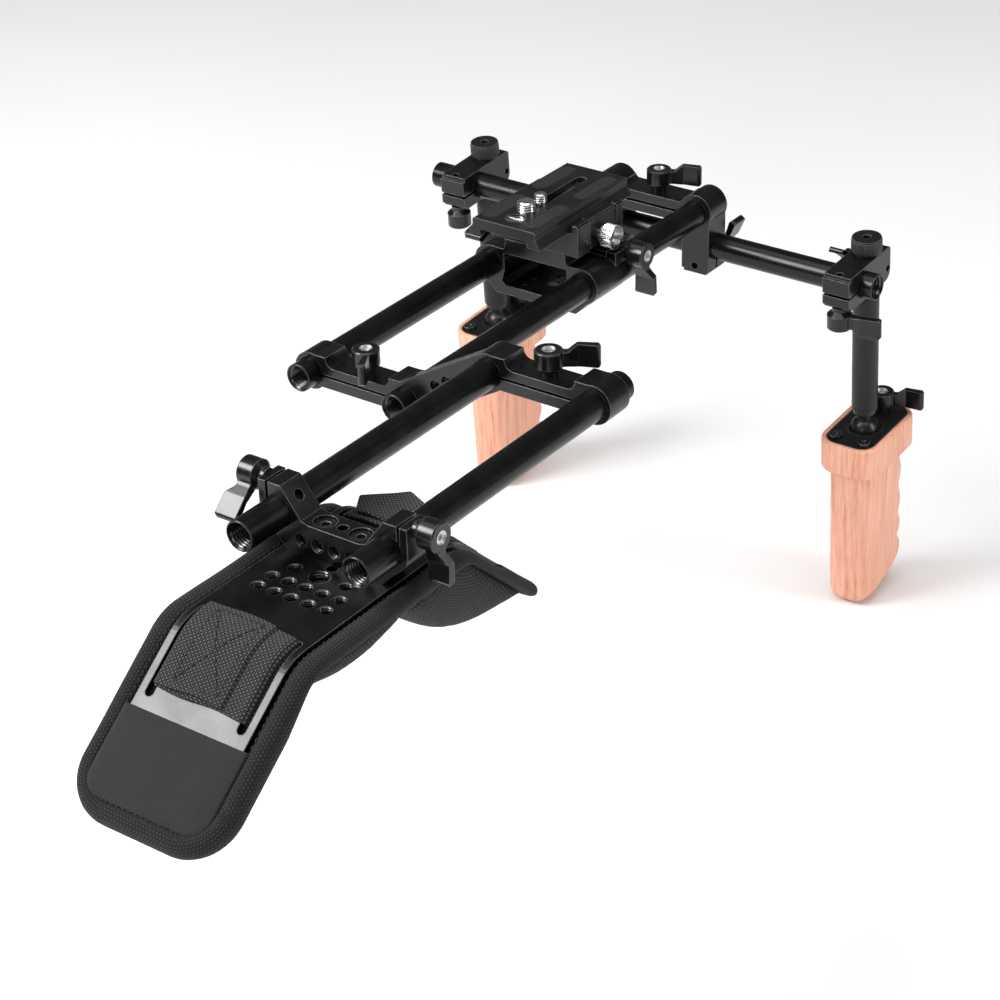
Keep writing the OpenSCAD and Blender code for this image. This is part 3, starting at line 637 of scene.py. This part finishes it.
def pad_stitches():
    """Slanting stitches along the binding's inner edge."""
    spacing, half_length, thickness, slant = 3.3, 1.25, 0.42, 0.5
    edge_inset, edge_level, arch = 8.9, -1.15, 0.35
    pts, length = outline(*PANEL)
    track = [(*inset(p, edge_inset, *PANEL), p[4]) for p in pts]
    track.append((*track[0][:2], length))
    points, faces = [], []
    count = int(length / spacing)
    for i in range(count):
        at = (i + 0.5) * length / count
        j = max(0, next(q for q in range(1, len(track)) if track[q][2] >= at) - 1)
        a, b = track[j], track[j + 1]
        f = (at - a[2]) / max(1e-6, b[2] - a[2])
        x, u = a[0] + (b[0] - a[0]) * f, a[1] + (b[1] - a[1]) * f
        span = math.hypot(b[0] - a[0], b[1] - a[1]) or 1.0
        tx, tu = (b[0] - a[0]) / span, (b[1] - a[1]) / span
        faces += tube_faces(len(points), 7)
        for e in range(7):
            g = -1 + e / 3
            w = thickness * math.sqrt(max(0, 1 - g * g)) + 0.02
            for q in range(6):
                ang = q * math.pi / 3
                du = g * half_length
                dv = g * slant + w * math.cos(ang)
                n = edge_level - 0.85 * rim_sink(u) + arch * (1 - g * g) + w * math.sin(ang)
                points.append(bend(x + tx * du - tu * dv, u + tu * du + tx * dv, n))
    mesh_object("pad_stitches", points, faces, THREAD, "shoulder", uvs=[p[:2] for p in points])


pad_panel()
pad_stitches()


def pocket(name, hx, u0, u1, r, crown):
    """A thin rounded sleeve over the end of the plate, with a soft crowned top."""
    foot, top = -3.6, 0.3
    pts, _ = outline(hx, u0, u1, r, 2.0)
    deep = min(hx, (u1 - u0) / 2)
    profile = [(1.2, foot), (0.3, foot + 0.1), (0.0, (foot + top) / 2), (0.3, top - 0.25), (1.0, top),
               (2.2, top + crown * 0.3), (4, top + crown * 0.5), (7, top + crown * 0.75)]
    profile += [(d, top + crown) for d in (10, 14, 19, 25, 30) if d < deep - 1]
    profile.append((deep, top + crown))
    rows, uvs = [], []
    for d, n in profile:
        flat = [inset(p, min(d, deep), hx, u0, u1, r) for p in pts]
        rows.append([bend(x, u, n) for x, u in flat])
        uvs += flat
    points, faces = lattice(rows, close_cols=True)
    return mesh_object(name, points, faces, POCKET, "shoulder", uvs=uvs)


# the open edges are cut square; the far ones follow the panel's corners
pocket_rear = pocket("pocket_rear", 33.4, -153.0, -112.3, (10, 1.2), 0.7)
pocket("pocket_front", 33.0, 81, 99, (1.2, 8), 0.6)
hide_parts("pad_pockets")


def strap(name, x_range, u_range, levels, waves, phase):
    """A layer of webbing across the plate. levels gives n at each x; its long edges waver a little."""
    thickness = 1.5
    xs = np.linspace(*x_range, 49)
    us = np.linspace(*u_range, 29)
    top, bottom, uvs = [], [], []
    for u in us:
        f = (u - us[0]) / (us[-1] - us[0])
        rt, rb = [], []
        for x in xs:
            du = waves * math.sin(x * 0.17 + phase) * (1 if f in (0, 1) else 0.6)
            n = levels(x) + 0.12 * math.sin(x * 0.5 + phase + 3 * f) * math.sin(math.pi * f)
            rt.append(bend(x, u + du, n + thickness))
            rb.append(bend(x, u + du, n))
            uvs.append((x, u + du))
        top.append(rt)
        bottom.append(rb)
    points, faces = slab(top, bottom)
    uvs = uvs + uvs
    obj = mesh_object(name, points, faces, WEBBING, "shoulder", uvs=uvs)
    bev = obj.modifiers.new("soft", "BEVEL")
    bev.width = 0.0004
    bev.segments = 2
    bev.angle_limit = math.radians(60)
    return obj


def dive(x, edge, depth):
    """Height lost where webbing turns down into a slot."""
    t = max(0.0, (abs(x) - edge + 3.2) / 3.2)
    return -depth * t * t


def top_layer(x):
    """The rear strap's second layer: down into the slot on the left, pressed flat at its sewn end."""
    slot_side = dive(x, 25.2, 3.0) if x < 0 else 0
    return 1.9 + slot_side - 0.5 * max(0, (x - 10) / 3) ** 2


rear_low = strap("rear_strap_low", (-25.6, 25.6), (-59, -102), lambda x: 0.25 + dive(x, 25.6, 3.4), 0.5, 0.3)
strap("rear_strap_top", (-25.2, 13.0), (-58.5, -100.5), top_layer, 0.6, 1.7)
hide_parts("rear_strap")
front_low = strap("front_strap_low", (-25.6, 25.6), (31, 72), lambda x: 0.25 + dive(x, 25.6, 3.0), 0.5, 2.2)
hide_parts("front_strap")


def seam(name, path):
    """A row of stitches over the rear strap's two layers, along a path of (x, u)."""
    level, spacing, arch, thickness = 3.45, 3.0, 0.25, 0.33
    points, faces = [], []
    path = [Vector((*p, level)) for p in path]
    for a, b in zip(path, path[1:]):
        d = b - a
        side = Vector((-d.y, d.x, 0)).normalized()
        k = max(1, int(d.length / spacing))
        for i in range(k):
            c0, c1 = a + d * ((i + 0.08) / k), a + d * ((i + 0.92) / k)
            faces += tube_faces(len(points), 5)
            for e in range(5):
                g = e / 4
                w = thickness * (0.35 + 0.65 * math.sin(math.pi * g))
                c = c0.lerp(c1, g)
                for q in range(6):
                    ang = q * math.pi / 3
                    p = c + side * (w * math.cos(ang))
                    points.append(bend(p.x, p.y, p.z + arch * math.sin(math.pi * g) + w * math.sin(ang)))
    mesh_object(name, points, faces, THREAD, "shoulder", uvs=[p[:2] for p in points])


SEWN = [(-15, -62), (9, -62), (9, -97), (-15, -97)]
seam("strap_seam", SEWN + SEWN[:1])
seam("strap_cross_a", SEWN[0::2])
seam("strap_cross_b", SEWN[1::2])


def flap():
    """Loose end of the front webbing: a folded tab that lies askew over the plate, one corner turned up."""
    left, peak, right = Vector((-23.3, 41.1)), Vector((-7.0, 58.1)), Vector((5.4, 51.7))
    foot_left, foot_right = Vector((-19.0, 32.4)), Vector((3.0, 34.0))
    turn = 0.62
    rows, uvs = [], []
    for i in range(13):
        f = i / 12
        row = []
        for j in range(27):
            g = j / 26
            top = left.lerp(peak, g / turn) if g < turn else peak.lerp(right, (g - turn) / (1 - turn))
            at = foot_left.lerp(foot_right, g).lerp(top, f)
            row.append((at.x, at.y, 20.4 + 2.0 * f + 0.5 * math.sin(5 * g + 2 * f)))
            uvs.append((at.x, at.y))
        rows.append(row)
    points, faces = lattice(rows)
    obj = mesh_object("strap_tab", points, faces, WEBBING, None, uvs=uvs)
    sol = obj.modifiers.new("thick", "SOLIDIFY")
    sol.thickness = 0.0022
    sub = obj.modifiers.new("sub", "SUBSURF")
    sub.levels = sub.render_levels = 1
    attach(obj, "shoulder")
    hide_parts("front_flap")


flap()

# the panel's underside as (y, z) points along its middle
UNDER = [bend(0, u, -6.6)[1:] for u in np.linspace(-160, 105, 200)]


def underside(y):
    return float(np.interp(y, [p[0] for p in UNDER], [p[1] for p in UNDER]))


def lobe_floor(y, cy, cz, radius):
    """Height of a lobe's round underside at y."""
    return cz - math.sqrt(max(0.0, radius ** 2 - (y - cy) ** 2))


def cushion(name, y0, y1, circle, half_x, cap):
    """A padded lobe under the panel, inflated by cloth simulation from a slightly smaller shape."""
    ny, nx = 40, 36
    top, bottom = [], []
    for i in range(ny + 1):
        y = y0 + (y1 - y0) * i / ny
        under = underside(y)
        depth = max(0.8, under - lobe_floor(y, *circle))
        rt, rb = [], []
        for j in range(nx + 1):
            # rows crowd toward the sides, which stand nearly upright
            fx = math.sin(math.pi * (j / nx - 0.5))
            x = half_x * fx
            edge = max(0.0, 1 - abs(fx) ** 7) ** 0.4
            rt.append((x, y, under + 0.8))
            rb.append((x, y, under - 0.2 - depth * edge))
        top.append(rt)
        bottom.append(rb)
    points, faces = slab(top, bottom)
    obj = mesh_object(name, points, faces, MESH, None)
    inflate(obj, cap)
    # planar weave coordinates come after the remesh
    layer = obj.data.uv_layers[0] if obj.data.uv_layers else obj.data.uv_layers.new(name="weave")
    for loop in obj.data.loops:
        co = obj.data.vertices[loop.vertex_index].co
        y = co.y / MM
        rise = max(0.0, co.z / MM - lobe_floor(y, *circle))
        layer.data[loop.index].uv = (co.x / MM + math.copysign(rise, co.x), y)
    obj.data.polygons.foreach_set("use_smooth", [True] * len(obj.data.polygons))
    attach(obj, "shoulder")
    return obj


def inflate(obj, cap):
    """Voxel remesh, cloth with pressure, movement capped, then smoothed once."""
    scene = bpy.context.scene
    rm = obj.modifiers.new("voxels", "REMESH")
    rm.mode = "VOXEL"
    rm.voxel_size = 0.004
    deps = bpy.context.evaluated_depsgraph_get()
    base = bpy.data.meshes.new_from_object(obj.evaluated_get(deps))
    obj.modifiers.clear()
    obj.data = base
    start = np.array([v.co for v in base.vertices])
    ceiling = start[:, 2].max()
    pin = obj.vertex_groups.new(name="pin")
    high = [i for i, p in enumerate(start) if p[2] > ceiling - 0.0035 or not under_panel(p)]
    pin.add(high, 1.0, "REPLACE")
    cl = obj.modifiers.new("cloth", "CLOTH")
    cl.settings.quality = 5
    cl.settings.mass = 0.3
    cl.settings.use_pressure = True
    cl.settings.uniform_pressure_force = 4
    cl.settings.effector_weights.gravity = 0
    cl.settings.vertex_group_mass = "pin"
    cl.point_cache.frame_start = 1
    cl.point_cache.frame_end = 20
    for f in range(1, 21):
        scene.frame_set(f)
    deps = bpy.context.evaluated_depsgraph_get()
    after = np.array([v.co for v in obj.evaluated_get(deps).to_mesh().vertices])
    scene.frame_set(1)
    obj.modifiers.clear()
    move = after - start
    size = np.linalg.norm(move, axis=1, keepdims=True)
    move *= np.minimum(1, cap / np.maximum(size, 1e-9))
    new = start + move
    base.vertices.foreach_set("co", new.ravel())
    base.update()
    sub = obj.modifiers.new("sub", "SUBSURF")
    sub.levels = sub.render_levels = 1
    deps = bpy.context.evaluated_depsgraph_get()
    final = bpy.data.meshes.new_from_object(obj.evaluated_get(deps))
    obj.modifiers.clear()
    obj.data = final
    if not final.materials:
        final.materials.append(MESH)


def under_panel(p):
    """True below the panel's underside, where the fabric is free to swell."""
    return p[2] / MM < underside(p[1] / MM) - 1.2


cushion("lobe_rear", -84, 3, (-38, 66, 71), 38.5, 0.0025)
lobe_front = cushion("lobe_front", 5, 84, (60, 29, 62), 38, 0.0025)
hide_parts("pad_lobes")

# ---------------------------------------------------------------- wooden grips
# the handles lean forward about the cross rod, whose axis is at this (y, z)
LEAN = math.radians(4)
CROSS_ROD = (425.5, -15.7)
POST_AHEAD = 17.7
HANDLE_X = {"left": -246.0, "right": 14.6}


def lean_place(side, x, ahead, up):
    """From a handle's own millimetres about the cross rod to the row frame."""
    return (HANDLE_X[side] + x, CROSS_ROD[0] + ahead * math.cos(LEAN) - up * math.sin(LEAN),
            CROSS_ROD[1] + ahead * math.sin(LEAN) + up * math.cos(LEAN))


def grip_place(side, x, y, z):
    """The same from the grip's millimetres, z down from its top face."""
    grip_top = -104
    return lean_place(side, x, POST_AHEAD + y, grip_top + z)


def rounded(hx, hy, r, cy, count):
    """count points of a rounded rectangle about (0, cy), evenly spaced along it from its right side up."""
    corners = [(hx - r, hy - r), (r - hx, hy - r), (r - hx, r - hy), (hx - r, r - hy)]
    straights = [2 * (hy - r), 2 * (hx - r)] * 2
    arc = math.pi / 2 * r
    total = sum(straights) + 4 * arc
    out = []
    for k in range(count):
        s = k / count * total
        j = 0
        while s > straights[j] + arc:
            s -= straights[j] + arc
            j += 1
        x, y = corners[j]
        turn = math.pi / 2 * j + max(0.0, s - straights[j]) / r
        back = max(0.0, straights[j] - s)
        out.append((x + r * math.cos(turn) + back * math.sin(turn),
                    cy + y + r * math.sin(turn) - back * math.cos(turn)))
    return out


def grip_front(z):
    """How far ahead the finger side stands: waves for four fingers, a little flatter at the lowest."""
    wave = 1.4 * math.cos(math.radians(360 * (z + 57) / 20.5))
    hollow = 1 / (1 + math.exp((z + 82) * 1.2)) - 1 / (1 + math.exp((z + 96) * 1.2))
    return 26.6 + wave - hollow


def oval(v):
    """A cosine or sine squared off toward a rectangle."""
    return math.copysign(abs(v) ** 0.62, v)


def grip_rings(side, count):
    """Rings of the hand-held part, from inside the collar to the rounded, slanting foot."""
    half_width, back = 15, -22.5
    foot, foot_round, collar = 101, 7, 17
    slant, slant_from, slant_about = 0.0075, -64, -8
    levels = [(-collar - k * (foot - collar) / 62, 0) for k in range(63)]
    for q in range(10, 90, 10):
        a = math.radians(q)
        levels.append((-foot - foot_round * math.sin(a), foot_round * (1 - math.cos(a))))
    levels += [(-foot - foot_round, 10), (-foot - foot_round, 14.2)]
    rings = []
    for z, ins in levels:
        fr, re = grip_front(z) - ins, back + ins
        tilt = slant * (slant_from - z) if z < slant_from else 0
        ring = []
        for k in range(count):
            a = 2 * math.pi * k / count
            y = (fr + re) / 2 + (fr - re) / 2 * oval(math.sin(a))
            x = (half_width - ins) * oval(math.cos(a))
            ring.append(grip_place(side, x, y, z + tilt * (y - slant_about)))
        rings.append(ring)
    return rings


def grip_mesh(side):
    count = 96
    # the collar's (inset, z), its edges rounded
    collar = [(4, -20), (1.6, -20), (0.5, -19.6), (0.0, -18.6), (0.0, -14), (0.0, -8), (0.0, -1.6),
              (0.3, -0.7), (0.9, -0.2), (1.6, 0), (3.2, 0)]
    # the bed for the black plate, and the cup under the ball as (radius, z)
    bed_top, bed_floor = -0.25, -3.05
    cup = [(10.5, -3.05), (9.6, -5.2), (7.6, -8.2), (4.5, -10.4), (1.0, -11.4)]
    # the last rows before the cup, the bed's inner rim, wall and floor, take the darker wood as painted shade
    shaded_rows = 3

    body = grip_rings(side, count)
    body_points, body_faces = lattice(body, close_cols=True)
    body_faces.append(tuple((len(body) - 1) * count + k for k in range(count)))
    rings = []
    for d, z in collar:
        loop = rounded(18.75 - d, 30 - d, max(13 - d, 1), 3.4, count)
        rings.append([grip_place(side, *q, z) for q in loop])
    bed = rounded(15.1, 27.1, 8.1, 3.4, count)
    for z in (bed_top, bed_floor):
        rings.append([grip_place(side, *q, z) for q in bed])
    n_wood = len(rings)
    for r, z in cup:
        rings.append([grip_place(side, *(Vector(q).normalized() * r), z) for q in bed])
    top_points, top_faces = lattice(rings, close_cols=True)
    off = len(body_points)
    faces = body_faces + [tuple(i + off for i in f) for f in top_faces]
    obj = mesh_object("grip_wood_" + side, body_points + top_points, faces, WOOD, "grip_" + side)
    obj.data.materials.append(OXIDE)
    obj.data.materials.append(BED_SHADE_WOOD)
    # the cup takes the oxide; the bed's rows take the darkened wood as painted shade
    for i, poly in enumerate(obj.data.polygons):
        row = (i - len(body_faces)) // count
        if row >= n_wood:
            poly.material_index = 1
        elif row >= n_wood - shaded_rows:
            poly.material_index = 2
    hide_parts("grip_" + side)


grip_mesh("left")
grip_mesh("right")

# ---------------------------------------------------------------- threads and knurls
FRONT_X, FRONT_Z = -110.7, 5.6
REAR_Z = 35.0
HALF_SPACING = 30
INSIDE = 0.9


def rod_ends():
    """Body, place and inward axis of each rod's two threaded ends."""
    for sx in (-HALF_SPACING, HALF_SPACING):
        yield "front_rods", (FRONT_X + sx, 138.5 + INSIDE, FRONT_Z), (0, 1, 0)
        yield "front_rods", (FRONT_X + sx, 438.5 - INSIDE, FRONT_Z), (0, -1, 0)
    for sx, y0 in ((-HALF_SPACING, -31.5), (HALF_SPACING, -27.5)):
        yield "rear_rods", (sx, y0 + INSIDE, REAR_Z), (0, 1, 0)
        yield "rear_rods", (sx, y0 + 200 - INSIDE, REAR_Z), (0, -1, 0)
    yield "cross_rod", (-268.9 + INSIDE, *CROSS_ROD), (1, 0, 0)
    yield "cross_rod", (31.1 - INSIDE, *CROSS_ROD), (-1, 0, 0)


def all_threads():
    quarter, three_eighths = 3.175, 4.7625
    floor_z = PLATE_TOP - 2.9
    black = ("black_anodised", OXIDE)
    steel = ("bright_steel", STEEL)
    for i, (body, at, axis) in enumerate(rod_ends()):
        thread(f"rod_thread_{i}", body, *black, at, axis, 6.0, 16, 1.75, 0.95)
    holes = [(x, y) for x in (-18.4, -9.2, 0, 9.2, 18.4) for y in (-35, -25.5)]
    holes += [(-14, -15.5), (14, -15.5)]
    for i, at in enumerate(holes):
        thread(f"plate_thread_{i}", "shoulder", *black, (*at, floor_z), (0, 0, 1),
               quarter, 2.9, 1.0, 0.5, seg=20)
    thread("plate_thread_large", "shoulder", *black, (0, -16, floor_z), (0, 0, 1),
           three_eighths, 2.9, 1.2, 0.6)
    for i in range(5):
        at = (9.2 * (i - 2), -1.8, REAR_Z - 11.1)
        thread(f"clamp_thread_{i}", "shoulder", *black, at, (0, -1, 0), quarter, 3.6, 1.1, 0.5, seg=20)
    for size, y, radius, length, pitch, depth in (("large", 295.5, 4.7, 4.6, 1.35, 0.42),
                                                  ("small", 308.5, 3.1, 4.3, 1.2, 0.38)):
        thread(f"screw_{size}_thread", "screw_" + size, *steel, (FRONT_X, y, 45.2), (0, 0, 1),
               radius, length, pitch, depth, inward=False)


def all_knurls():
    knurl("qr_knob_knurl", "qr_knob", STEEL, (FRONT_X + 30.8, 324.5, 27.6), (1, 0, 0),
          6.5, 6.6, 44, 0.32)
    for side in HANDLE_X:
        knurl("post_stop_knurl_" + side, "post_stop_" + side, DARK,
              lean_place(side, 0, POST_AHEAD, 10.9), (0, -math.sin(LEAN), math.cos(LEAN)), 8.25, 7.4, 44, 0.45)


all_threads()
all_knurls()

# ---------------------------------------------------------------- floor
def stage_floor():
    half = 9
    z = CAD_BOX[0][2] - 0.002
    n = Nodes("pale_floor")
    n.set(Base_Color=n.ramp(n.noise(n.coords(), 3, 2), [(0.3, grey(0.90)), (0.7, grey(0.93))]), Roughness=0.9)
    floor = bpy.data.meshes.new("floor")
    corners = [(-half, -half, z), (half, -half, z), (half, half, z), (-half, half, z)]
    floor.from_pydata(corners, [], [(0, 1, 2, 3)])
    floor.materials.append(n.mat)
    floor_obj = bpy.data.objects.new("floor", floor)
    bpy.context.scene.collection.objects.link(floor_obj)


stage_floor()

bpy.context.view_layer.update()
